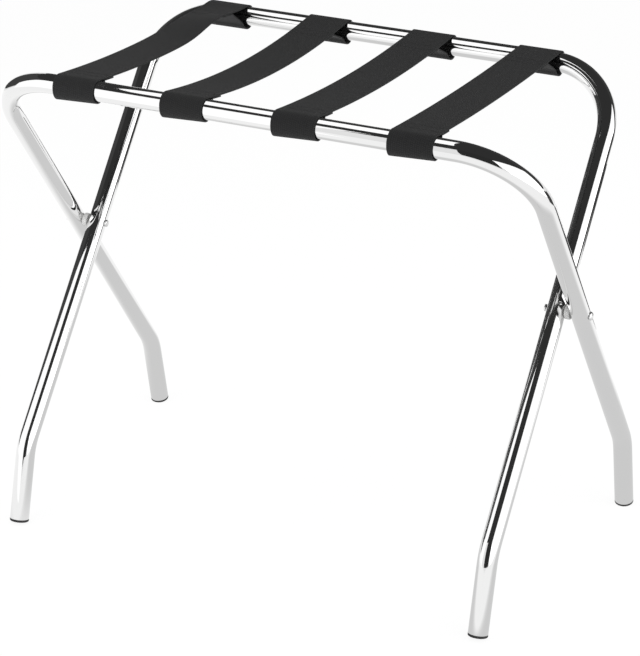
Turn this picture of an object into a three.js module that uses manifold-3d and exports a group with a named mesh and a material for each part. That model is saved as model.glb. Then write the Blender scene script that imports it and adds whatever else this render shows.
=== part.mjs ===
// Folding luggage rack: two bent-tube frames that cross at two pivots, four webbing straps over the
// rails, and a rubber tip in each tube end. Millimetres, +Z up, +X to the right along the rails,
// +Y to the back. The origin is on the floor, midway between the four feet.
import * as THREE from "three";
import { mergeVertices } from "three/addons/utils/BufferGeometryUtils.js";
import Module from "manifold-3d";

// ---------------------------------------------------------------- driving dimensions

// Tube
const tubeDiameter = 22;
const tubeWall = 1.2;
const tubeFacets = 24;

// Frames, all on tube centrelines
const innerFrameWidth = 576;
const railHeight = 531; // above the floor, open
const railSpacing = 340; // front rail to rear rail, open
const cornerRadius = 80; // from rail to leg
const kneeHeight = 91; // where the leg turns towards the floor
const kneeSpacing = 334;
const kneeRadius = 64;
const footSpacing = 376; // where the leg centrelines meet the floor
const cornerSteps = 8;
const kneeSteps = 5;

// Pivots
const boltDiameter = 6;
const boltClearance = 0.3; // round the bolt, in every hole that it passes
const boltHeadDiameter = 10;
const boltHeadHeight = 2.8;
const spacerDiameter = 16;
const spacerLength = 6;
const nutDiameter = 8;
const nutGrip = 1.6; // the nut's straight barrel, and the length of bolt inside it
const nutCrown = 1.2; // the dome past the barrel
const seatGap = 0.15; // between pivot pieces that bear on each other
const pivotFacets = 20;

// Tips
const tipFlange = 3; // thickness of the rim outside the tube
const tipCrown = 0.8; // how far the sole domes below the rim
const tipEdge = 0.5; // chamfer at the rim
const tipFlat = 0.5; // depth of the flat that stands on the floor
const tipStem = 19;
const tipWall = 3;
const tipRibs = 3;
const tipRibDepth = 0.9;
const tipRibCrest = 1.1; // along the stem; the flanks are at 45 degrees
const tipClearance = 0.25; // between the ribs and the tube bore
const tipSeat = 0.15; // between the rim and the tube end

// Straps
const strapCount = 4;
const strapWidth = 50;
const strapThickness = 1.5;
const strapInset = 91.5; // from the middle of an end strap to the inner frame's leg
const strapShift = -6.5; // the set lies a little to the left on the rails
const strapClearance = 0.3; // between webbing and tube
const strapPlyGap = 0.3; // between the span and the end sewn under it
const strapSewn = 18; // length of the sewn overlap
const strapEase = 6; // how gently a lap leaves its wrap
// How a strap goes round each rail. reach: rail centre to the end of the overlap. leaves: degrees
// below level, where the lap leaves the wrap. hang: how far the wrap hangs off the rail's underside.
// room: more space on the rail's inner side, where the end strap lies over the start of a bend.
const frontLoop = { reach: 31, leaves: 10, hang: 1.8, room: 0 };
const rearLoop = { reach: 58, leaves: 28, hang: 3, room: 2 };
// Slack of each strap, left to right: how deep it hangs, and how far it bows up before the rear rail
const strapSlack = [
  { sag: 8, bow: 8.5 },
  { sag: 12.5, bow: 0 },
  { sag: 8, bow: 0 },
  { sag: 4, bow: 0 },
];
const bowPlace = 0.56; // along the half span, from the middle to the rear rail
const bowReach = 45;
const spanSteps = 20;
const wrapSteps = 7; // in each half of a wrap
const lapSteps = 6;

// ---------------------------------------------------------------- derived dimensions

const tubeRadius = tubeDiameter / 2;
const boreRadius = tubeRadius - tubeWall;
const boltRadius = boltDiameter / 2;
const legOffset = tubeDiameter + spacerLength; // inner leg to outer leg, across the spacer
const innerLegX = innerFrameWidth / 2;
const outerLegX = innerLegX + legOffset;
const railY = railSpacing / 2;
const kneeY = kneeSpacing / 2;
const footY = footSpacing / 2;
const strapPitch = (innerFrameWidth - 2 * strapInset) / (strapCount - 1);

// The straight run of each leg crosses the middle plane at the pivot.
const pivotZ = railHeight - ((railHeight - kneeHeight) * railY) / (railY + kneeY);

// The shank under the knee leans out. The tube is cut square and its tip stands on one edge.
const shankLean = Math.atan((footY - kneeY) / kneeHeight);
const tubeEndZ =
  tipFlange * Math.cos(shankLean) + tubeRadius * Math.sin(shankLean) - tipFlat;
const tubeEndY = footY - tubeEndZ * Math.tan(shankLean);

// ---------------------------------------------------------------- materials

const finish = (color, roughness, metalness) =>
  new THREE.MeshStandardMaterial({ color, roughness, metalness });
const chrome = finish(0xd8dadc, 0.08, 1);
const plated = finish(0xc9ccce, 0.2, 1);
const nylon = finish(0xc4c5c4, 0.5, 0);
const rubber = finish(0x1b1b1c, 0.8, 0);
const webbing = finish(0x343436, 0.85, 0);

// ---------------------------------------------------------------- solids

const wasm = await Module();
wasm.setup();

// A geometry as a solid that can be joined and cut.
function solid(geometry) {
  const bare = geometry.clone();
  bare.deleteAttribute("normal");
  bare.deleteAttribute("uv");
  const merged = mergeVertices(bare, 1e-4);
  return new wasm.Manifold(
    new wasm.Mesh({
      numProp: 3,
      vertProperties: merged.attributes.position.array,
      triVerts: new Uint32Array(merged.index.array),
    }),
  );
}

function geometryOf(body) {
  const mesh = body.getMesh();
  const geometry = new THREE.BufferGeometry();
  geometry.setAttribute(
    "position",
    new THREE.BufferAttribute(new Float32Array(mesh.vertProperties), 3),
  );
  geometry.setIndex(new THREE.BufferAttribute(new Uint32Array(mesh.triVerts), 1));
  geometry.computeVertexNormals();
  return geometry;
}

// Takes each tool out of a geometry.
function cut(geometry, ...tools) {
  return geometryOf(tools.reduce((body, tool) => body.subtract(solid(tool)), solid(geometry)));
}

function named(name, geometry, material) {
  const mesh = new THREE.Mesh(geometry, material);
  mesh.name = name;
  return mesh;
}

// A revolved solid about Z, from [radius, z] points that start and end on the axis.
function turned(points, facets = pivotFacets) {
  const profile = points.map(([r, z]) => new THREE.Vector2(r, z));
  return new THREE.LatheGeometry(profile, facets).rotateX(Math.PI / 2);
}

// A rod along X, centred on the pivot axis.
function rodAlongX(radius, from, to, z = pivotZ) {
  return new THREE.CylinderGeometry(radius, radius, to - from, pivotFacets)
    .rotateZ(Math.PI / 2)
    .translate((from + to) / 2, 0, z);
}

// ---------------------------------------------------------------- bent tubes

// A centreline of straight runs joined by bends. A bend is stepped evenly and a straight run is one
// step, so the parameter counts steps instead of length.
class BentCentreline extends THREE.Curve {
  constructor(corners, radii, steps) {
    super();
    this.stations = [];
    const last = corners.length - 1;
    this.add(corners[0], corners[1].clone().sub(corners[0]).normalize());
    for (let i = 1; i < last; i++) {
      const into = corners[i].clone().sub(corners[i - 1]).normalize();
      const out = corners[i + 1].clone().sub(corners[i]).normalize();
      this.addBend(corners[i], into, out, radii[i - 1], steps[i - 1]);
    }
    this.add(corners[last], corners[last].clone().sub(corners[last - 1]).normalize());
  }

  add(point, tangent) {
    this.stations.push({ point, tangent });
  }

  addBend(corner, into, out, radius, steps) {
    const angle = into.angleTo(out);
    const setback = radius * Math.tan(angle / 2);
    const start = corner.clone().addScaledVector(into, -setback);
    const axis = into.clone().cross(out).normalize();
    const centre = start.clone().addScaledVector(axis.clone().cross(into), radius);
    for (let k = 0; k <= steps; k++) {
      const turn = (angle * k) / steps;
      const arm = start.clone().sub(centre).applyAxisAngle(axis, turn);
      this.add(centre.clone().add(arm), into.clone().applyAxisAngle(axis, turn));
    }
  }

  get steps() {
    return this.stations.length - 1;
  }

  getPointAt(u, target = new THREE.Vector3()) {
    return target.copy(this.stations[Math.round(u * this.steps)].point);
  }

  getTangentAt(u, target = new THREE.Vector3()) {
    return target.copy(this.stations[Math.round(u * this.steps)].tangent);
  }
}

// One frame: an upside-down U of tube, open at both ends, with a bolt hole through each leg.
// side is -1 where the rail is at the front and the feet at the back, and 1 where it is the other way.
function frameTube(legX, side) {
  const corner = (x, y, z) => new THREE.Vector3(x, y, z);
  const leg = (x) => [
    corner(x, -side * tubeEndY, tubeEndZ),
    corner(x, -side * kneeY, kneeHeight),
    corner(x, side * railY, railHeight),
  ];
  const centreline = new BentCentreline(
    [...leg(-legX), ...leg(legX).reverse()],
    [kneeRadius, cornerRadius, cornerRadius, kneeRadius],
    [kneeSteps, cornerSteps, cornerSteps, kneeSteps],
  );
  const section = new THREE.Shape().absarc(0, 0, tubeRadius, 0, 2 * Math.PI);
  section.holes.push(new THREE.Path().absarc(0, 0, boreRadius, 0, 2 * Math.PI, true));
  const tube = new THREE.ExtrudeGeometry(section, {
    extrudePath: centreline,
    steps: centreline.steps,
    curveSegments: tubeFacets / 2,
  });
  const hole = (x) =>
    rodAlongX(boltRadius + boltClearance, x - tubeDiameter, x + tubeDiameter);
  return cut(tube, hole(-legX), hole(legX));
}

// ---------------------------------------------------------------- tips

// A plug with a ribbed, hollow stem in the tube and a domed sole under it. The floor cuts the low
// edge of the sole flat.
function tip(legX, side) {
  const ribRadius = boreRadius - tipClearance;
  const coreRadius = ribRadius - tipRibDepth;
  const ribPitch = tipStem / tipRibs;
  const sole = [0, 0.5, 1].map((share) => [
    (tubeRadius - tipEdge) * share,
    -tipFlange - tipCrown * (1 - share ** 2),
  ]);
  const outline = [
    ...sole,
    [tubeRadius, -tipFlange + tipEdge],
    [tubeRadius, -tipSeat],
    [coreRadius, -tipSeat],
  ];
  for (let i = 0; i < tipRibs; i++) {
    const z = ribPitch * (i + 0.5);
    const crest = tipRibCrest / 2;
    outline.push(
      [coreRadius, z - crest - tipRibDepth],
      [ribRadius, z - crest],
      [ribRadius, z + crest],
      [coreRadius, z + crest + tipRibDepth],
    );
  }
  outline.push(
    [coreRadius, tipStem],
    [coreRadius - tipWall, tipStem],
    [coreRadius - tipWall, tipWall],
    [0, tipWall],
  );
  const plug = turned(outline)
    .rotateX(-side * shankLean)
    .translate(legX, -side * tubeEndY, tubeEndZ);
  const below = 4 * tubeDiameter;
  const floor = new THREE.BoxGeometry(below, below, below).translate(
    legX,
    -side * tubeEndY,
    -below / 2,
  );
  return cut(plug, floor);
}

// ---------------------------------------------------------------- pivots

// A domed profile of a given height on a rim of a given radius, as [radius, z] points from the rim
// to the crown.
function dome(radius, height, steps = 5) {
  const points = [];
  for (let k = 0; k <= steps; k++) {
    const a = (k / steps) * (Math.PI / 2);
    points.push([radius * Math.cos(a), height * Math.sin(a)]);
  }
  points[steps][0] = 0;
  return points;
}

// The bolt's head is outside the outer leg, and its end is in the nut inside the inner leg.
const boltHeadX = outerLegX + tubeRadius + seatGap;
const nutSeatX = innerLegX - tubeRadius - seatGap;
const boltEndX = nutSeatX - nutGrip;

// Local Z is the pivot axis, and points out of the rack.
const onPivot = (geometry, side) =>
  geometry.rotateY((side * Math.PI) / 2).translate(0, 0, pivotZ);

function bolt(side) {
  const head = dome(boltHeadDiameter / 2, boltHeadHeight).map(([r, z]) => [r, boltHeadX + z]);
  const outline = [[0, boltEndX], [boltRadius, boltEndX], [boltRadius, boltHeadX], ...head];
  return onPivot(turned(outline), side);
}

// The spacer keeps the legs apart. It turns with the outer frame, and the inner leg slides on it.
function spacer(side) {
  const from = innerLegX + tubeRadius + seatGap;
  const to = outerLegX - tubeRadius - seatGap;
  const hole = boltRadius + boltClearance;
  const ring = [
    [hole, from],
    [spacerDiameter / 2, from],
    [spacerDiameter / 2, to],
    [hole, to],
    [hole, from],
  ];
  return onPivot(turned(ring), side);
}

// The round cap nut on the bolt's end: a straight barrel and a domed crown.
function nut(side) {
  const hole = boltRadius + boltClearance;
  const crown = dome(nutDiameter / 2, nutCrown).map(([r, z]) => [r, boltEndX - z]);
  const outline = [
    ...crown.reverse(),
    [nutDiameter / 2, nutSeatX],
    [hole, nutSeatX],
    [hole, boltEndX - boltClearance],
    [0, boltEndX - boltClearance],
  ];
  return onPivot(turned(outline), side);
}

// ---------------------------------------------------------------- straps

// A strap is one length of webbing. It wraps down round the outside of each rail and its end is sewn
// back under the span. The profile is drawn as [y, z] on the middle of the webbing.
const wrapRadius = tubeRadius + strapClearance + strapThickness / 2;

// The span's height at y: a sagging parabola that leaves each wrap at a tangent, and a bow.
function spanShape({ sag, bow }) {
  const slope = Math.atan((2 * sag) / railY);
  const reach = railY - wrapRadius * Math.sin(slope);
  const ends = railHeight + wrapRadius * Math.cos(slope);
  const height = (y) => {
    const hang = sag * (1 - (y / reach) ** 2);
    const rise = bow * Math.exp(-(((y - bowPlace * railY) / bowReach) ** 2));
    return ends - hang + rise;
  };
  return { slope, reach, height };
}

// One end of the profile, from the tip of the sewn end to the last point of the wrap. end is -1 at
// the front rail and 1 at the rear rail.
function wrapPoints(shape, end, loop) {
  const under = (y) => [y, shape.height(y) - strapThickness - strapPlyGap];
  const sewnFrom = railY - loop.reach;
  const sewnTo = sewnFrom + strapSewn;
  const points = [under(end * sewnFrom), under(end * (sewnFrom + strapSewn / 2)), under(end * sewnTo)];

  // The lap runs from the overlap to the wrap, which it meets on its inner side.
  const meet = -THREE.MathUtils.degToRad(loop.leaves);
  const hanging = (angle) => [
    end * (railY - (wrapRadius + (Math.cos(angle) > 0 ? loop.room : 0)) * Math.cos(angle)),
    railHeight + wrapRadius * Math.sin(angle) - loop.hang,
  ];
  const snug = (angle) => [
    end * (railY - wrapRadius * Math.cos(angle)),
    railHeight + wrapRadius * Math.sin(angle),
  ];
  const [fromY, fromZ] = under(end * sewnTo);
  const [toY, toZ] = hanging(meet);
  const lap = new THREE.CubicBezierCurve(
    new THREE.Vector2(fromY, fromZ),
    new THREE.Vector2(fromY + (toY - fromY) / 3, fromZ + (toZ - fromZ) / 3),
    new THREE.Vector2(toY + end * strapEase * Math.sin(meet), toZ + strapEase * Math.cos(meet)),
    new THREE.Vector2(toY, toZ),
  );
  for (let k = 1; k < lapSteps; k++) points.push(lap.getPoint(k / lapSteps).toArray());

  // Under the rail, where it may hang, up its outside, then close over the top.
  const outside = -Math.PI;
  const over = -1.5 * Math.PI - shape.slope;
  const sweep = (from, to, k) => from + ((to - from) * k) / wrapSteps;
  for (let k = 0; k <= wrapSteps; k++) points.push(hanging(sweep(meet, outside, k)));
  for (let k = 0; k <= wrapSteps; k++) points.push(snug(sweep(outside, over, k)));
  return points;
}

// A ribbon of even thickness along a line of [y, z] points, as a closed shape.
function ribbon(points, thickness) {
  const side = (sign) =>
    points.map(([y, z], i) => {
      const [y0, z0] = points[Math.max(i - 1, 0)];
      const [y1, z1] = points[Math.min(i + 1, points.length - 1)];
      const run = Math.hypot(y1 - y0, z1 - z0);
      const out = (sign * thickness) / 2 / run;
      return new THREE.Vector2(y - (z1 - z0) * out, z + (y1 - y0) * out);
    });
  return new THREE.Shape([...side(1), ...side(-1).reverse()]);
}

function strap(index) {
  const shape = spanShape(strapSlack[index % strapSlack.length]);
  const span = [];
  for (let k = 1; k < spanSteps; k++) {
    const y = shape.reach * ((2 * k) / spanSteps - 1);
    span.push([y, shape.height(y)]);
  }
  const profile = [
    ...wrapPoints(shape, -1, frontLoop),
    ...span,
    ...wrapPoints(shape, 1, rearLoop).reverse(),
  ];
  const x = strapShift + strapPitch * (index - (strapCount - 1) / 2);
  const web = new THREE.ExtrudeGeometry(ribbon(profile, strapThickness), {
    depth: strapWidth,
    bevelEnabled: false,
  });
  const upright = new THREE.Matrix4().makeBasis(
    new THREE.Vector3(0, 1, 0),
    new THREE.Vector3(0, 0, 1),
    new THREE.Vector3(1, 0, 0),
  );
  return web.translate(0, 0, x - strapWidth / 2).applyMatrix4(upright);
}

// ---------------------------------------------------------------- assembly

const rack = new THREE.Group();
rack.add(
  named("outer_frame", frameTube(outerLegX, -1), chrome),
  named("inner_frame", frameTube(innerLegX, 1), chrome),
);
for (const [hand, side] of [
  ["left", -1],
  ["right", 1],
]) {
  rack.add(
    named(`foot_tip_rear_${hand}`, tip(side * outerLegX, -1), rubber),
    named(`foot_tip_front_${hand}`, tip(side * innerLegX, 1), rubber),
    named(`pivot_bolt_${hand}`, bolt(side), plated),
    named(`pivot_spacer_${hand}`, spacer(side), nylon),
    named(`pivot_cap_nut_${hand}`, nut(side), plated),
  );
}
for (let i = 0; i < strapCount; i++) rack.add(named(`strap_${i + 1}`, strap(i), webbing));

export default rack;
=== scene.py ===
"""Folding luggage rack: two frames of bent chrome tube that cross at two pivots, four webbing
straps over the rails, and a rubber tip in each tube end.

Metres, +Z up, +X to the right along the rails, +Y to the back.
"""

import math

import bmesh
import bpy
from mathutils import Matrix, Vector


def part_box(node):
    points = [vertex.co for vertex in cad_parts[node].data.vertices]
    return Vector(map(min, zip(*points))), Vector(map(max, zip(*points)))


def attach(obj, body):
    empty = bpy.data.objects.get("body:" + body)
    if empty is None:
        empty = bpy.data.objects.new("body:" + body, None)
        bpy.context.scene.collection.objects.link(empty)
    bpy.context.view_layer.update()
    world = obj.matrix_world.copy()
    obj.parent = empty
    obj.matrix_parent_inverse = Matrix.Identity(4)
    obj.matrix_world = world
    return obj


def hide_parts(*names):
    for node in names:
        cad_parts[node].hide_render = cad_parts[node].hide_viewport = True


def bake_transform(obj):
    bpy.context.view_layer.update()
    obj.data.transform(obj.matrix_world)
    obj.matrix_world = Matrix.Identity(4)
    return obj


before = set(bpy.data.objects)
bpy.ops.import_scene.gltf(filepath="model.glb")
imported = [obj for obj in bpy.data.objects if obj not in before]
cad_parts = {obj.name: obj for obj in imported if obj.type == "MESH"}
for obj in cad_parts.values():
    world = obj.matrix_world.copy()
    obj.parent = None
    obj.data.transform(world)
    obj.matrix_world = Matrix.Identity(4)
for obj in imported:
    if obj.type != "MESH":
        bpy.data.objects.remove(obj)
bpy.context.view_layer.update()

MM = 0.001

# ---------------------------------------------------------------- sizes

# Tube
TUBE_RADIUS = 11 * MM
TUBE_WALL = 1.2 * MM
TUBE_FACETS = 64
BEND_STEP = math.radians(3)  # of turn between two rings of a bend

# Frames, on tube centrelines. The widths and the rails come from the CAD frame.
CORNER_RADIUS = 80 * MM
KNEE_RADIUS = 64 * MM
KNEE_Z = 91 * MM
KNEE_Y = 167 * MM
FOOT_Y = 188 * MM  # where a shank's centreline meets the floor
OUTER_LEG_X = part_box("outer_frame")[1].x - TUBE_RADIUS
INNER_LEG_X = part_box("inner_frame")[1].x - TUBE_RADIUS
RAIL_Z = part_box("outer_frame")[1].z - TUBE_RADIUS
RAIL_Y = -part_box("outer_frame")[0].y - TUBE_RADIUS
PIVOT_Z = sum(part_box("pivot_spacer_left"), Vector()).z / 2

# Tips
TIP_FLANGE = 3 * MM
TIP_CROWN = 0.8 * MM
TIP_EDGE = 0.5 * MM
TIP_FLAT = 0.5 * MM
TIP_STEM = 19 * MM
TIP_STEM_RADIUS = 8.65 * MM
TIP_RIB_RADIUS = 9.55 * MM
TIP_RIBS = 3
TIP_WALL = 3 * MM
TIP_SEAT = 0.15 * MM
TIP_BEVEL = 0.25 * MM
SOLE_STEPS = 8  # from the middle of a sole to its edge

SHANK_LEAN = math.atan((FOOT_Y - KNEE_Y) / KNEE_Z)
TUBE_END_Z = TIP_FLANGE * math.cos(SHANK_LEAN) + TUBE_RADIUS * math.sin(SHANK_LEAN) - TIP_FLAT
TUBE_END_Y = FOOT_Y - TUBE_END_Z * math.tan(SHANK_LEAN)

# Pivots
BOLT_RADIUS = 3 * MM
BOLT_HEAD_RADIUS = 5 * MM
BOLT_HEAD_HEIGHT = 2.8 * MM
SPACER_RADIUS = 8 * MM
NUT_RADIUS = 4 * MM
NUT_GRIP = 1.6 * MM
NUT_CROWN = 1.2 * MM
PIVOT_GAP = 0.15 * MM
BORE_CLEARANCE = 0.3 * MM  # round the bolt and past its end
BOLT_BEVEL = 0.3 * MM
SPACER_BEVEL = 0.5 * MM
NUT_BEVEL = 0.25 * MM
HEAD_SEAT = OUTER_LEG_X + TUBE_RADIUS + PIVOT_GAP
NUT_SEAT = INNER_LEG_X - TUBE_RADIUS - PIVOT_GAP
BOLT_END = NUT_SEAT - NUT_GRIP

# Straps
STRAP_WIDTH = 50 * MM
STRAP_THICKNESS = 1.5 * MM
STRAP_CLEARANCE = 0.3 * MM
STRAP_PLY_GAP = 0.3 * MM
STRAP_SEWN = 18 * MM
STRAP_LAP = {-1: 31 * MM, 1: 58 * MM}  # rail centre to the end of the overlap, front and rear
STRAP_HANG = {-1: 1.8 * MM, 1: 3 * MM}  # how far a wrap hangs off the underside of its rail
FRONT_TWIST = 1.1 * MM  # how much lower the left side of a front wrap hangs, and higher its right
STRAP_ROOM = {-1: 0, 1: 2 * MM}  # between a hanging wrap and the inner side of its rail
STRAP_MEET = {-1: math.radians(10), 1: math.radians(28)}  # below level, where lap and wrap meet
STRAP_EASE = 6 * MM  # how gently they do
STRAP_SLACK = {  # how deep each strap hangs, and how far it bows up before the rear rail
    "strap_1": (8 * MM, 8.5 * MM),
    "strap_2": (12.5 * MM, 0),
    "strap_3": (8 * MM, 0),
    "strap_4": (4 * MM, 0),
}
BOW_PLACE = 0.56  # along the half span, from the middle to the rear rail
BOW_REACH = 45 * MM
LEFT_BOW = 0.3  # share of the bow that the left selvedge has; the right one has all of it
BOW_FADE = 20 * MM  # before the rear rail, over which the two selvedges come level
SELVEDGE_BEVEL = 0.6 * MM

# Stitches
STITCH_LENGTH = 2.6 * MM
STITCH_PITCH = 3.2 * MM
THREAD_RADIUS = 0.35 * MM
STITCH_INSET = 4 * MM  # from a selvedge or the end of the strap
STITCH_MARGIN = 1 * MM  # between the last row and the end of the sewn part

# Surfaces: how far apart the marks are and how deep
SCRATCH_DEPTH = 0.002 * MM
TURNING_PITCH = 0.35 * MM
TURNING_DEPTH = 0.01 * MM
NYLON_GRAIN = 0.03 * MM
RUBBER_GRAIN = 0.06 * MM
SCUFF = (0.2 * MM, 2.2 * MM)  # above the floor: the wear of a tip fades between the two
RIB_PITCH = 1.9 * MM
YARN_PITCH = 2.4 * MM
WEAVE_DEPTH = 0.22 * MM
THREAD_PITCH = 0.5 * MM
THREAD_DEPTH = 0.08 * MM

# Meshes
MERGE_WITHIN = 0.001 * MM
TURNED_FACETS = 48
SHARP_EDGE = math.radians(40)  # of turn: sharper edges are bevelled
SMOOTH_UNDER = math.radians(35)  # of turn: gentler edges are shaded smooth

# Where the mesh is divided across a strap: closer at the selvedges.
LEFT_DIVISIONS = [0, 1.2 * MM, 4 * MM, 10 * MM, 18 * MM]
RIGHT_DIVISIONS = [STRAP_WIDTH - place for place in reversed(LEFT_DIVISIONS)]
DIVISIONS = [*LEFT_DIVISIONS, STRAP_WIDTH / 2, *RIGHT_DIVISIONS]


# ---------------------------------------------------------------- shader sums


class Wire:
    """A socket of a node tree. Sums of wires and numbers add their Math nodes."""

    def __init__(self, tree, socket=None):
        self.tree = tree
        self.socket = socket

    def node(self, kind, settings=(), inputs=(), output=0):
        """Adds a node, with its settings first and then the values or wires of its sockets."""
        made = self.tree.nodes.new(kind)
        for name, value in dict(settings).items():
            setattr(made, name, value)
        for name, value in dict(inputs).items():
            if isinstance(value, Wire):
                self.tree.links.new(value.socket, made.inputs[name])
            else:
                made.inputs[name].default_value = value
        return Wire(self.tree, made.outputs[output] if made.outputs else None)

    def math(self, operation, *others):
        return self.node("ShaderNodeMath", {"operation": operation}, enumerate([self, *others]))

    def __add__(self, other):
        return self.math("ADD", other)

    def __sub__(self, other):
        return self.math("SUBTRACT", other)

    def __rsub__(self, other):
        return self.node("ShaderNodeMath", {"operation": "SUBTRACT"}, {0: other, 1: self})

    def __mul__(self, other):
        return self.math("MULTIPLY", other)

    __radd__ = __add__
    __rmul__ = __mul__

    def __abs__(self):
        return self.math("ABSOLUTE")

    def sine(self):
        return self.math("SINE")

    def between(self, low, high):
        """0 below low, 1 above high, and a smooth step in between."""
        inputs = {"Value": self, "From Min": low, "From Max": high}
        return self.node("ShaderNodeMapRange", {"interpolation_type": "SMOOTHSTEP"}, inputs)

    def parts(self):
        """A vector's three numbers."""
        split = self.node("ShaderNodeSeparateXYZ", (), {"Vector": self}).socket.node
        return [Wire(self.tree, out) for out in split.outputs]

    def noise(self, scale, detail=2.0, stretch=(1, 1, 1)):
        """Cloudy noise on a vector, at so many blotches to the metre."""
        mapping = {"Vector": self, "Scale": stretch}
        place = self.node("ShaderNodeMapping", {"vector_type": "POINT"}, mapping)
        inputs = {"Vector": place, "Scale": scale, "Detail": detail}
        return self.node("ShaderNodeTexNoise", (), inputs)

    def blend(self, dark, light):
        """A colour from dark, where the wire is 0, to light, where it is 1."""
        inputs = {0: self, 6: (*dark, 1), 7: (*light, 1)}
        return self.node("ShaderNodeMix", {"data_type": "RGBA"}, inputs, output=2)

    def relief(self, height):
        """A normal that is bumped by the wire, whose full height is given in metres."""
        return self.node("ShaderNodeBump", (), {"Height": self, "Distance": height})


def new_material(name):
    """A material, and a wire that its nodes hang on."""
    material = bpy.data.materials.new(name)
    material.use_nodes = True
    material.node_tree.nodes.clear()
    return material, Wire(material.node_tree)


def finished(material, wire, **inputs):
    """Ends a material in one Principled shader."""
    sockets = {name.replace("_", " "): value for name, value in inputs.items()}
    surface = wire.node("ShaderNodeBsdfPrincipled", (), sockets)
    wire.node("ShaderNodeOutputMaterial", (), {"Surface": surface})
    return material


def object_place(wire):
    return wire.node("ShaderNodeTexCoord", output="Object")


# ---------------------------------------------------------------- finishes


def polished_chrome():
    material, wire = new_material("polished_chrome")
    place = object_place(wire)
    smudge = place.noise(scale=38, detail=3).between(0.5, 0.72)
    scratch = place.noise(scale=900, stretch=(1, 1, 0.08)).between(0.62, 0.8)
    tint = place.noise(scale=9).blend((0.735, 0.735, 0.735), (0.755, 0.755, 0.753))
    return finished(
        material,
        wire,
        Base_Color=tint,
        Metallic=1.0,
        Roughness=0.028 + smudge * 0.05 + scratch * 0.04,
        Normal=scratch.relief(SCRATCH_DEPTH),
    )


def turned_steel():
    """Bright plating over turning marks that run round the pivot."""
    material, wire = new_material("turned_steel")
    place = object_place(wire)
    _, y, z = place.parts()
    rise = z - PIVOT_Z
    ring = (y * y + rise * rise).math("SQRT")
    wander = place.noise(scale=300) * 4
    mark = (ring * (2 * math.pi / TURNING_PITCH) + wander).sine()
    worn = place.noise(scale=260, detail=4).between(0.45, 0.7)
    return finished(
        material,
        wire,
        Base_Color=worn.blend((0.72, 0.72, 0.72), (0.62, 0.62, 0.61)),
        Metallic=1.0,
        Roughness=0.24 + worn * 0.14,
        Normal=mark.relief(TURNING_DEPTH),
    )


def grey_nylon():
    material, wire = new_material("grey_nylon")
    place = object_place(wire)
    grain = place.noise(scale=1800, detail=3)
    cloud = place.noise(scale=140, detail=3).between(0.35, 0.7)
    return finished(
        material,
        wire,
        Base_Color=cloud.blend((0.72, 0.72, 0.715), (0.8, 0.8, 0.79)),
        Roughness=0.42 + grain * 0.16,
        Normal=grain.relief(NYLON_GRAIN),
    )


def black_rubber():
    material, wire = new_material("black_rubber")
    place = object_place(wire)
    grain = place.noise(scale=1500, detail=4)
    _, _, z = place.parts()
    near_floor = 1 - z.between(*SCUFF)
    scuff = near_floor * place.noise(scale=420, detail=4).between(0.4, 0.65)
    wear = grain * 0.35 + scuff * 0.65
    return finished(
        material,
        wire,
        Base_Color=wear.blend((0.008, 0.008, 0.009), (0.085, 0.082, 0.078)),
        Roughness=0.62 + grain * 0.2,
        Normal=grain.relief(RUBBER_GRAIN),
    )


def weave(wire):
    """Where a point is along and across its webbing, as two wires in metres."""
    attribute = {"attribute_name": "weave"}
    along, across, _ = wire.node("ShaderNodeAttribute", attribute, output="Vector").parts()
    return along, across


def black_webbing():
    """Fine ribs across the strap, each crossed by the yarns that run along it."""
    material, wire = new_material("black_webbing")
    along, across = weave(wire)
    place = object_place(wire)
    yarn = (across * (math.pi / YARN_PITCH)).sine()
    rib = abs((along * (math.pi / RIB_PITCH) + yarn.math("SIGN") * (math.pi / 4)).sine())
    height = rib * 0.6 + abs(yarn) * 0.4
    heather = place.noise(scale=700, detail=3)
    fuzz = place.noise(scale=2600)
    # The base colour is lighter on the crests of the weave and darker in its hollows, which is painted
    # shade, mixed with the yarn's own heather and fuzz.
    shade = height.between(0.15, 1) * 0.55 + heather * 0.3 + fuzz * 0.15
    return finished(
        material,
        wire,
        Base_Color=shade.blend((0.0075, 0.0076, 0.0079), (0.034, 0.0342, 0.0348)),
        Roughness=0.9 - height * 0.18,
        Specular_IOR_Level=0.15,
        Sheen_Weight=0.05,
        Sheen_Roughness=0.5,
        Normal=(height + fuzz * 0.2).relief(WEAVE_DEPTH),
    )


def sewing_thread():
    """Twisted polyester thread, a shade lighter than the webbing."""
    material, wire = new_material("sewing_thread")
    x, y, z = object_place(wire).parts()
    twist = abs(((x + y + z) * (math.pi / THREAD_PITCH)).sine())
    return finished(
        material,
        wire,
        # The base colour is lighter on the ridges of the twist and darker in its grooves: painted shade.
        Base_Color=twist.blend((0.009, 0.009, 0.0095), (0.034, 0.034, 0.035)),
        Roughness=0.7 - twist * 0.15,
        Normal=twist.relief(THREAD_DEPTH),
    )


# ---------------------------------------------------------------- mesh helpers


def vertices_of(made):
    return [part for part in made if isinstance(part, bmesh.types.BMVert)]


def edges_of(made):
    return [part for part in made if isinstance(part, bmesh.types.BMEdge)]


def turned(outline):
    """A turned solid about Z, from [radius, height] points."""
    mesh = bmesh.new()
    points = [mesh.verts.new((radius, 0, height)) for radius, height in outline]
    line = [mesh.edges.new(pair) for pair in zip(points, points[1:])]
    bmesh.ops.spin(
        mesh,
        geom=points + line,
        cent=(0, 0, 0),
        axis=(0, 0, 1),
        dvec=(0, 0, 0),
        angle=2 * math.pi,
        steps=TURNED_FACETS,
        use_merge=True,
    )
    bmesh.ops.remove_doubles(mesh, verts=mesh.verts, dist=MERGE_WITHIN)
    bmesh.ops.recalc_face_normals(mesh, faces=mesh.faces)
    return mesh


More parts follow.
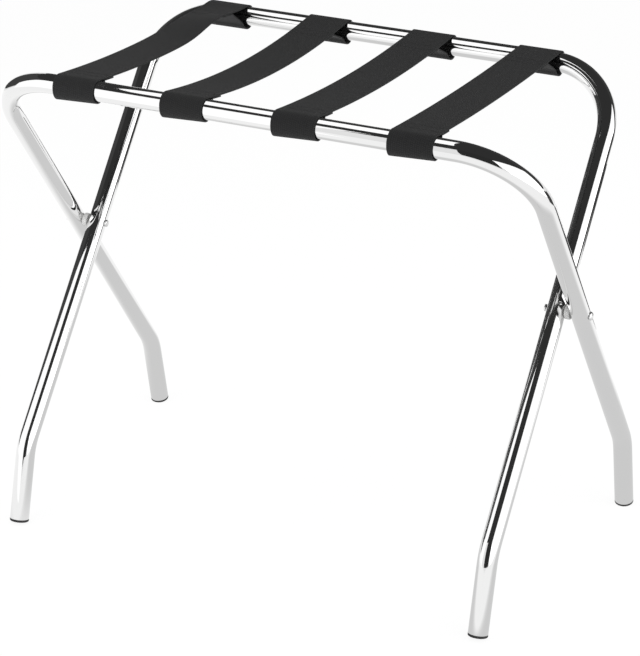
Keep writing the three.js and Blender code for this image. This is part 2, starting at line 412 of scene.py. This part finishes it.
def ease_edges(mesh, width):
    """Rounds each sharp edge of a solid."""
    edges = [edge for edge in mesh.edges if edge.is_manifold and edge.calc_face_angle() > SHARP_EDGE]
    bmesh.ops.bevel(
        mesh,
        geom=edges,
        offset=width,
        offset_type="OFFSET",
        affect="EDGES",
        segments=3,
        profile=0.5,
        material=-1,
        clamp_overlap=True,
    )


def dome(radius, height, steps=12):
    """A domed outline, from its rim to its crown."""
    outline = []
    for k in range(steps):
        turn = math.pi / 2 * k / steps
        outline.append((radius * math.cos(turn), height * math.sin(turn)))
    return [*outline, (0, height)]


def piece(name, mesh, material, *stands_for, smooth_under=SMOOTH_UNDER):
    """Makes an object of a mesh with one material, and hides the CAD nodes named, which it stands for.
    """
    data = bpy.data.meshes.new(name)
    mesh.to_mesh(data)
    mesh.free()
    data.shade_smooth()
    data.set_sharp_from_angle(angle=smooth_under)
    data.materials.append(material)
    made = bpy.data.objects.new(name, data)
    bpy.context.scene.collection.objects.link(made)
    if stands_for:
        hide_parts(*stands_for)
    return made


# ---------------------------------------------------------------- bent tube


class TubeBender:
    """Forms a tube as a bending machine does, one straight run or one bend at a time."""

    def __init__(self, start, heading):
        self.mesh = bmesh.new()
        self.end = start
        self.heading = heading.normalized()
        square_on = self.heading.to_track_quat("Z", "X").to_matrix().to_4x4()
        bmesh.ops.create_circle(
            self.mesh,
            segments=TUBE_FACETS,
            radius=TUBE_RADIUS,
            matrix=Matrix.Translation(start) @ square_on,
        )
        self.ring = self.mesh.edges[:]

    def run_to(self, point):
        made = bmesh.ops.extrude_edge_only(self.mesh, edges=self.ring)["geom"]
        bmesh.ops.translate(self.mesh, verts=vertices_of(made), vec=point - self.end)
        self.ring = edges_of(made)
        self.end = point

    def bend_to(self, heading, radius):
        axis = self.heading.cross(heading).normalized()
        centre = self.end + axis.cross(self.heading) * radius
        angle = self.heading.angle(heading)
        made = bmesh.ops.spin(
            self.mesh,
            geom=self.ring,
            cent=centre,
            axis=axis,
            dvec=(0, 0, 0),
            angle=angle,
            steps=math.ceil(angle / BEND_STEP),
        )["geom_last"]
        self.ring = edges_of(made)
        self.end = centre + Matrix.Rotation(angle, 3, axis) @ (self.end - centre)
        self.heading = heading


def bent_tube(corners, radii):
    """A hollow tube along the corners of its centreline, bent at each to its radius."""
    tube = TubeBender(corners[0], corners[1] - corners[0])
    for corner, beyond, radius in zip(corners[1:], corners[2:], radii):
        heading = (beyond - corner).normalized()
        setback = radius * math.tan(tube.heading.angle(heading) / 2)
        tube.run_to(corner - tube.heading * setback)
        tube.bend_to(heading, radius)
    tube.run_to(corners[-1])
    bmesh.ops.recalc_face_normals(tube.mesh, faces=tube.mesh.faces)
    bmesh.ops.solidify(tube.mesh, geom=tube.mesh.faces[:], thickness=TUBE_WALL)
    return tube.mesh


def rack_frame(leg_x, side):
    """An upside-down U. side is -1 where its rail is at the front and its feet are behind."""
    left = [
        Vector((-leg_x, -side * TUBE_END_Y, TUBE_END_Z)),
        Vector((-leg_x, -side * KNEE_Y, KNEE_Z)),
        Vector((-leg_x, side * RAIL_Y, RAIL_Z)),
    ]
    right = [Vector((-corner.x, corner.y, corner.z)) for corner in reversed(left)]
    return bent_tube(left + right, [KNEE_RADIUS, CORNER_RADIUS, CORNER_RADIUS, KNEE_RADIUS])


# ---------------------------------------------------------------- tips and pivots


def foot_tip(x, side):
    """A rubber plug with a ribbed stem in the tube and a domed sole that the floor cuts flat.

    A rib is as wide at its top as it is high, and three times as wide at its foot.
    """
    sole_radius = TUBE_RADIUS - TIP_EDGE
    outline = [(0, -TIP_FLANGE - TIP_CROWN)]
    for k in range(1, SOLE_STEPS + 1):
        share = k / SOLE_STEPS
        outline.append((sole_radius * share, -TIP_FLANGE - TIP_CROWN * (1 - share**2)))
    outline += [
        (TUBE_RADIUS, -TIP_FLANGE + TIP_EDGE),
        (TUBE_RADIUS, -TIP_SEAT),
        (TIP_STEM_RADIUS, -TIP_SEAT),
    ]
    pitch = TIP_STEM / TIP_RIBS
    rise = TIP_RIB_RADIUS - TIP_STEM_RADIUS
    for i in range(TIP_RIBS):
        middle = pitch * (i + 0.5)
        outline += [
            (TIP_STEM_RADIUS, middle - 1.5 * rise),
            (TIP_RIB_RADIUS, middle - 0.5 * rise),
            (TIP_RIB_RADIUS, middle + 0.5 * rise),
            (TIP_STEM_RADIUS, middle + 1.5 * rise),
        ]
    outline += [
        (TIP_STEM_RADIUS, TIP_STEM),
        (TIP_STEM_RADIUS - TIP_WALL, TIP_STEM),
        (TIP_STEM_RADIUS - TIP_WALL, TIP_WALL),
        (0, TIP_WALL),
    ]
    mesh = turned(outline)
    ease_edges(mesh, TIP_BEVEL)
    end = Matrix.Translation((x, -side * TUBE_END_Y, TUBE_END_Z))
    lean = Matrix.Rotation(-side * SHANK_LEAN, 4, "X")
    bmesh.ops.transform(mesh, matrix=end @ lean, verts=mesh.verts)
    cut = bmesh.ops.bisect_plane(
        mesh,
        geom=mesh.verts[:] + mesh.edges[:] + mesh.faces[:],
        plane_co=(0, 0, 0),
        plane_no=(0, 0, 1),
        clear_inner=True,
    )["geom_cut"]
    bmesh.ops.holes_fill(mesh, edges=edges_of(cut))
    return mesh


def on_pivot(mesh, side):
    """Turns a piece that was made about Z onto the pivot axis, with +Z out of the rack."""
    outward = Matrix.Rotation(side * math.pi / 2, 4, "Y")
    place = Matrix.Translation((0, 0, PIVOT_Z)) @ outward
    bmesh.ops.transform(mesh, matrix=place, verts=mesh.verts)
    return mesh


def pivot_bolt(side):
    crown = dome(BOLT_HEAD_RADIUS, BOLT_HEAD_HEIGHT)
    head = [(radius, HEAD_SEAT + height) for radius, height in crown]
    mesh = turned([(0, BOLT_END), (BOLT_RADIUS, BOLT_END), (BOLT_RADIUS, HEAD_SEAT), *head])
    ease_edges(mesh, BOLT_BEVEL)
    return on_pivot(mesh, side)


def pivot_spacer(side):
    start = INNER_LEG_X + TUBE_RADIUS + PIVOT_GAP
    end = OUTER_LEG_X - TUBE_RADIUS - PIVOT_GAP
    bore = BOLT_RADIUS + BORE_CLEARANCE
    ring = [(bore, start), (SPACER_RADIUS, start), (SPACER_RADIUS, end), (bore, end), (bore, start)]
    mesh = turned(ring)
    ease_edges(mesh, SPACER_BEVEL)
    return on_pivot(mesh, side)


def cap_nut(side):
    bore = BOLT_RADIUS + BORE_CLEARANCE
    crown = [(radius, BOLT_END - height) for radius, height in dome(NUT_RADIUS, NUT_CROWN)]
    mesh = turned(
        [
            *reversed(crown),
            (NUT_RADIUS, NUT_SEAT),
            (bore, NUT_SEAT),
            (bore, BOLT_END - BORE_CLEARANCE),
            (0, BOLT_END - BORE_CLEARANCE),
        ]
    )
    ease_edges(mesh, NUT_BEVEL)
    return on_pivot(mesh, side)


# ---------------------------------------------------------------- straps


def curve_point(start, leave, arrive, end, t):
    """A point of the curve from start to end that has leave and arrive as its handles."""
    return start * (1 - t) ** 3 + leave * 3 * t * (1 - t) ** 2 + arrive * 3 * t**2 * (1 - t) + end * t**3


class StrapLine:
    """The line that a strap follows, seen from the rack's side: points are (y, z)."""

    def __init__(self, sag, bow):
        self.sag = sag
        self.bow = bow
        self.wrap_radius = TUBE_RADIUS + STRAP_CLEARANCE + STRAP_THICKNESS / 2
        self.slope = math.atan(2 * sag / RAIL_Y)
        self.reach = RAIL_Y - self.wrap_radius * math.sin(self.slope)

    def rise(self, y):
        """The height of the bow."""
        return self.bow * math.exp(-(((y - BOW_PLACE * RAIL_Y) / BOW_REACH) ** 2))

    def height(self, y):
        """The span hangs in a parabola that leaves each wrap at a tangent."""
        ends = RAIL_Z + self.wrap_radius * math.cos(self.slope)
        hang = self.sag * (1 - (y / self.reach) ** 2)
        return ends - hang + self.rise(y)

    def tilt(self, across, y):
        """How far below the line a point is that lies so far across from the left selvedge."""
        fade = min(1, max(0, (self.reach - y) / BOW_FADE))
        return fade * self.rise(y) * (1 - LEFT_BOW) * (1 - across / STRAP_WIDTH)

    def twist(self, across, y, z):
        """How far above the line such a point is in a front wrap."""
        if y > -RAIL_Y / 2 or z > RAIL_Z:
            return 0
        low = min(1, (RAIL_Z - z) / self.wrap_radius)
        return low * FRONT_TWIST * (2 * across / STRAP_WIDTH - 1)

    def under(self, y):
        """The sewn end, below the span."""
        return y, self.height(y) - STRAP_THICKNESS - STRAP_PLY_GAP

    def hanging(self, end, angle):
        """The lower half of a wrap. Angles turn about the rail, from its side inside the rack."""
        room = STRAP_ROOM[end] if math.cos(angle) > 0 else 0
        y = end * (RAIL_Y - (self.wrap_radius + room) * math.cos(angle))
        return y, RAIL_Z + self.wrap_radius * math.sin(angle) - STRAP_HANG[end]

    def snug(self, end, angle):
        """The upper half of a wrap."""
        y = end * (RAIL_Y - self.wrap_radius * math.cos(angle))
        return y, RAIL_Z + self.wrap_radius * math.sin(angle)

    def turn(self, end, steps=16, sewn_steps=8):
        """From the sewn end, under the rail and up its outside, to the top of the rail."""
        sewn_from = RAIL_Y - STRAP_LAP[end]
        meet_angle = -STRAP_MEET[end]
        points = []
        for k in range(sewn_steps + 1):
            points.append(self.under(end * (sewn_from + STRAP_SEWN * k / sewn_steps)))
        start = Vector(points[-1])
        meet = Vector(self.hanging(end, meet_angle))
        leave = start.lerp(meet, 1 / 3)
        arrive = meet + STRAP_EASE * Vector((end * math.sin(meet_angle), math.cos(meet_angle)))
        for k in range(1, steps):
            points.append(curve_point(start, leave, arrive, meet, k / steps))
        outside = -math.pi
        over = -1.5 * math.pi - self.slope
        for place, first, last in ((self.hanging, meet_angle, outside), (self.snug, outside, over)):
            for k in range(steps + 1):
                points.append(place(end, first + (last - first) * k / steps))
        return [tuple(point) for point in points]

    def points(self, steps=72):
        """The whole line, from the sewn end at the front to the one at the rear."""
        span = [self.reach * (2 * k / steps - 1) for k in range(1, steps)]
        return [*self.turn(-1), *((y, self.height(y)) for y in span), *reversed(self.turn(1))]


def webbing(left, line):
    """A length of webbing along a line, from its left selvedge. Its weave runs along it."""
    mesh = bmesh.new()
    run = mesh.verts.layers.float_vector.new("weave")
    points = line.points()
    along = 0
    row = []
    for before, (y, z) in zip([points[0], *points], points):
        along += math.dist(before, (y, z))
        point = mesh.verts.new((left, y, z))
        point[run] = (along, 0, 0)
        row.append(point)
    edges = [mesh.edges.new(pair) for pair in zip(row, row[1:])]
    for before, after in zip(DIVISIONS, DIVISIONS[1:]):
        made = bmesh.ops.extrude_edge_only(mesh, edges=edges)["geom"]
        bmesh.ops.translate(mesh, verts=vertices_of(made), vec=(after - before, 0, 0))
        edges = edges_of(made)
    for point in mesh.verts:
        across = point.co.x - left
        point[run] = (point[run].x, across, 0)
        point.co.z -= line.tilt(across, point.co.y)
        point.co.z += line.twist(across, point.co.y, point.co.z)
    bmesh.ops.recalc_face_normals(mesh, faces=mesh.faces)
    return mesh, along


def stitch_row(mesh, start, end, place):
    """Stitches from start to end, both (x, y). place gives the webbing's point at an x and a y."""
    count = round(math.dist(start, end) / STITCH_PITCH)
    for k in range(count):
        middle = Vector(start).lerp(Vector(end), (k + 0.5) / count)
        ahead = Vector(start).lerp(Vector(end), (k + 0.6) / count)
        here = place(*middle)
        turn = (place(*ahead) - here).to_track_quat("X", "Z").to_matrix().to_4x4()
        shape = Matrix.Diagonal((STITCH_LENGTH / 2, THREAD_RADIUS, THREAD_RADIUS, 1))
        bmesh.ops.create_uvsphere(
            mesh,
            u_segments=6,
            v_segments=4,
            radius=1,
            matrix=Matrix.Translation(here) @ turn @ shape @ Matrix.Rotation(math.pi / 2, 4, "Y"),
        )


def stitching(left, line):
    """A sewn box through both plies of each overlap, seen above the span and below the lap."""
    half = STRAP_THICKNESS / 2

    def above(x, y):
        return Vector((x, y, line.height(y) + half - line.tilt(x - left, y)))

    def below(x, y):
        return Vector((x, y, line.under(y)[1] - half - line.tilt(x - left, y)))

    mesh = bmesh.new()
    first = left + STITCH_INSET
    last = left + STRAP_WIDTH - STITCH_INSET
    for end in (-1, 1):
        far = end * (RAIL_Y - STRAP_LAP[end] + STITCH_INSET)
        near = end * (RAIL_Y - STRAP_LAP[end] + STRAP_SEWN - STITCH_MARGIN)
        box = [(first, far), (last, far), (last, near), (first, near)]
        for side in (above, below):
            for start, stop in zip(box, box[1:] + box[:1]):
                stitch_row(mesh, start, stop, side)
    return mesh


def give_thickness(strap):
    """Thickens a strap's surface and softens its selvedges."""
    thick = strap.modifiers.new("thickness", "SOLIDIFY")
    thick.thickness = STRAP_THICKNESS
    thick.offset = 0
    soft = strap.modifiers.new("selvedge", "BEVEL")
    soft.width = SELVEDGE_BEVEL
    soft.segments = 2
    soft.limit_method = "ANGLE"
    soft.angle_limit = math.radians(60)


def add_strap(name, cloth, thread):
    """One strap with its stitching."""
    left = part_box(name)[0].x
    line = StrapLine(*STRAP_SLACK[name])
    mesh, length = webbing(left, line)
    strap = piece(name + "_webbing", mesh, cloth, name, smooth_under=math.pi)
    give_thickness(strap)
    seam = piece(name + "_stitching", stitching(left, line), thread)
    for part in (strap, seam):
        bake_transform(part)


# ---------------------------------------------------------------- the rack


def build_rack():
    chrome = polished_chrome()
    steel = turned_steel()
    nylon = grey_nylon()
    rubber = black_rubber()
    cloth = black_webbing()
    thread = sewing_thread()

    outer = piece("outer_tube", rack_frame(OUTER_LEG_X, -1), chrome, "outer_frame")
    inner = piece("inner_tube", rack_frame(INNER_LEG_X, 1), chrome, "inner_frame")
    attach(outer, "outer")
    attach(inner, "inner")

    for hand, side in (("left", -1), ("right", 1)):
        plug = foot_tip(side * OUTER_LEG_X, -1)
        rear = piece(f"rear_tip_{hand}", plug, rubber, f"foot_tip_rear_{hand}")
        plug = foot_tip(side * INNER_LEG_X, 1)
        front = piece(f"front_tip_{hand}", plug, rubber, f"foot_tip_front_{hand}")
        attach(rear, "outer")
        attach(front, "inner")
        bolt = piece(f"bolt_{hand}", pivot_bolt(side), steel, f"pivot_bolt_{hand}")
        spacer = piece(f"spacer_{hand}", pivot_spacer(side), nylon, f"pivot_spacer_{hand}")
        nut = piece(f"cap_nut_{hand}", cap_nut(side), steel, f"pivot_cap_nut_{hand}")
        for part in (bolt, spacer, nut):
            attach(part, "outer")

    for name in STRAP_SLACK:
        add_strap(name, cloth, thread)


# ---------------------------------------------------------------- camera, stage and light


# A long lens to the right of the rack's front, above it
CAMERA_LENS = 136.5  # in millimetres, as cameras have it
CAMERA_PLACE = Vector((1.1535, -2.3407, 1.3229))
CAMERA_TURN = math.radians(26.15)
CAMERA_RISE = math.radians(67.29)  # from straight down
CAMERA_ROLL = math.radians(0.76)

# Brightness, where 1 is white
WORLD_FILL = 0.5
LAMP_TONE = 1.37
FLOOR_PAINT = 0.8
FLOOR_GLOW = 1.08
FLOOR_GLOW_SHARE = 0.85  # the rest of what is seen of the floor is its paint, with its shadow

# A board that stands on the floor at the front left, lower at its far end
FRONT_LEFT_BOARD = [
    (-0.25, -0.85, 0),
    (-1.7, -0.537, 0),
    (-1.7, -0.537, 0.62),
    (-1.0, -0.688, 1.03),
    (-0.25, -0.85, 1.2),
]


def add_camera():
    data = bpy.data.cameras.new("camera")
    data.lens = CAMERA_LENS
    camera = bpy.data.objects.new("camera", data)
    turn = Matrix.Rotation(CAMERA_TURN, 4, "Z")
    rise = Matrix.Rotation(CAMERA_RISE, 4, "X")
    roll = Matrix.Rotation(CAMERA_ROLL, 4, "Z")
    camera.matrix_world = Matrix.Translation(CAMERA_PLACE) @ turn @ rise @ roll
    bpy.context.scene.collection.objects.link(camera)
    bpy.context.scene.camera = camera


def seen_directly(wire):
    """1 for a ray that shows the backdrop itself: from the camera, a reflection or glass."""
    path = wire.node("ShaderNodeLightPath").socket.node
    camera = Wire(wire.tree, path.outputs["Is Camera Ray"])
    reflection = Wire(wire.tree, path.outputs["Is Glossy Ray"])
    glass = Wire(wire.tree, path.outputs["Is Transmission Ray"])
    return camera.math("MAXIMUM", reflection).math("MAXIMUM", glass)


def white_world():
    world = bpy.data.worlds.new("white_room")
    world.use_nodes = True
    world.node_tree.nodes.clear()
    wire = Wire(world.node_tree)
    strength = WORLD_FILL + seen_directly(wire) * (1 - WORLD_FILL)
    light = wire.node("ShaderNodeBackground", (), {"Color": (1, 1, 1, 1), "Strength": strength})
    wire.node("ShaderNodeOutputWorld", (), {"Surface": light})
    bpy.context.scene.world = world


def square(half, height=0):
    """A level square round the origin."""
    mesh = bmesh.new()
    place = Matrix.Translation((0, 0, height))
    bmesh.ops.create_grid(mesh, x_segments=1, y_segments=1, size=half, matrix=place)
    return mesh


def grey(tone):
    return (tone, tone, tone, 1)


def pale_floor():
    """A white floor that keeps a faint shadow."""
    material, wire = new_material("pale_floor")
    matt = wire.node("ShaderNodeBsdfDiffuse", (), {"Color": grey(FLOOR_PAINT)})
    glow = wire.node("ShaderNodeEmission", (), {"Strength": FLOOR_GLOW})
    share = seen_directly(wire) * FLOOR_GLOW_SHARE
    mixed = wire.node("ShaderNodeMixShader", (), {0: share, 1: matt, 2: glow})
    wire.node("ShaderNodeOutputMaterial", (), {"Surface": mixed})
    floor = piece("floor", square(half=6), material)


def facing_rack(azimuth, elevation, distance):
    """A place round the rack's middle, with -Z towards it. Azimuth 0 is behind it, 90 to its right."""
    raised = Matrix.Rotation(math.radians(elevation), 3, "X")
    turned_to = Matrix.Rotation(-math.radians(azimuth), 3, "Z")
    out = turned_to @ raised @ Vector((0, 1, 0))
    middle = Vector((0, 0, RAIL_Z / 2))
    facing = out.to_track_quat("Z", "Y").to_matrix().to_4x4()
    return Matrix.Translation(middle + out * distance) @ facing


def soft_box(name, place, width, height):
    """A lamp with an evenly bright face. White takes pi watts to the square metre."""
    data = bpy.data.lights.new(name, "AREA")
    data.shape = "RECTANGLE"
    data.size = width
    data.size_y = height
    data.energy = LAMP_TONE * math.pi * width * height
    lamp = bpy.data.objects.new(name, data)
    lamp.matrix_world = place
    lamp.visible_camera = False
    bpy.context.scene.collection.objects.link(lamp)


def panel(place, width, height):
    """The corners of a rectangle in the X and Y of a place."""
    corners = ((-1, -1), (1, -1), (1, 1), (-1, 1))
    return [place @ Vector((x * width / 2, y * height / 2, 0)) for x, y in corners]


def standing(start, end, height):
    """The corners of an upright board on the floor."""
    return [(*start, 0), (*end, 0), (*end, height), (*start, height)]


def reflected_only(board):
    board.visible_camera = False
    board.visible_diffuse = False
    board.visible_shadow = False
    board.visible_transmission = False


def card(name, corners, tone, lights_cloth=False):
    """A plain board that the chrome sees, and that lights the cloth only where it is asked to."""
    mesh = bmesh.new()
    mesh.faces.new([mesh.verts.new(corner) for corner in corners])
    material, wire = new_material(name)
    glow = wire.node("ShaderNodeEmission", (), {"Color": grey(tone)})
    wire.node("ShaderNodeOutputMaterial", (), {"Surface": glow})
    board = piece(name, mesh, material)
    reflected_only(board)
    board.visible_diffuse = lights_cloth


def floor_card(middle, half_width, half_depth, inside, outside):
    """A board on the floor that only the chrome sees: a darker soft oval under the rack, a painted
    shadow for the chrome to reflect, and a brighter tone round it.
    """
    material, wire = new_material("painted_floor_shadow")
    x, y, _ = object_place(wire).parts()
    across = (x - middle[0]) * (1 / half_width)
    back = (y - middle[1]) * (1 / half_depth)
    ring = (across * across + back * back).math("SQRT")
    # painted shadow inside the oval, a brighter floor round it, seen only in the chrome
    tone = ring.between(0.8, 1.3).blend((inside,) * 3, (outside,) * 3)
    glow = wire.node("ShaderNodeEmission", (), {"Color": tone})
    wire.node("ShaderNodeOutputMaterial", (), {"Surface": glow})
    reflected_only(piece("painted_floor_shadow", square(half=2.5, height=2 * MM), material))


def add_studio():
    """Bright faces give the chrome its white bands, and dark boards its black ones."""
    white_world()
    pale_floor()

    to_right = facing_rack(azimuth=97, elevation=14, distance=2.6)
    soft_box("right_wall", to_right, width=4.6, height=3)
    soft_box("overhead", Matrix.Translation((-0.39, -0.04, 1.45)), width=0.58, height=0.83)
    card("front_left", FRONT_LEFT_BOARD, LAMP_TONE, lights_cloth=True)

    above = Matrix.Translation((0, 0, 3.2))
    to_camera = facing_rack(azimuth=168, elevation=22, distance=4.5)
    to_left = facing_rack(azimuth=-88, elevation=16, distance=3.2)
    to_back = facing_rack(azimuth=10, elevation=30, distance=4)
    card("ceiling", panel(above, width=8, height=8), tone=0.035)
    card("camera_side", panel(to_camera, width=3.8, height=4.2), tone=0.03)
    card("left_side", panel(to_left, width=4.4, height=3.4), tone=0.06)
    card("behind", panel(to_back, width=8, height=3), tone=0.05)
    card("rear_right", standing((1.12, 1.46), (1.59, 0.73), height=0.55), tone=0.06)
    card("rear_low", standing((0.25, 0.83), (1.03, 1.1), height=0.15), tone=0.06)
    floor_card(middle=(0.16, 0.13), half_width=0.58, half_depth=0.42, inside=0.79, outside=1.16)


add_camera()
build_rack()
add_studio()

scene = bpy.context.scene
scene.view_settings.view_transform = "Standard"
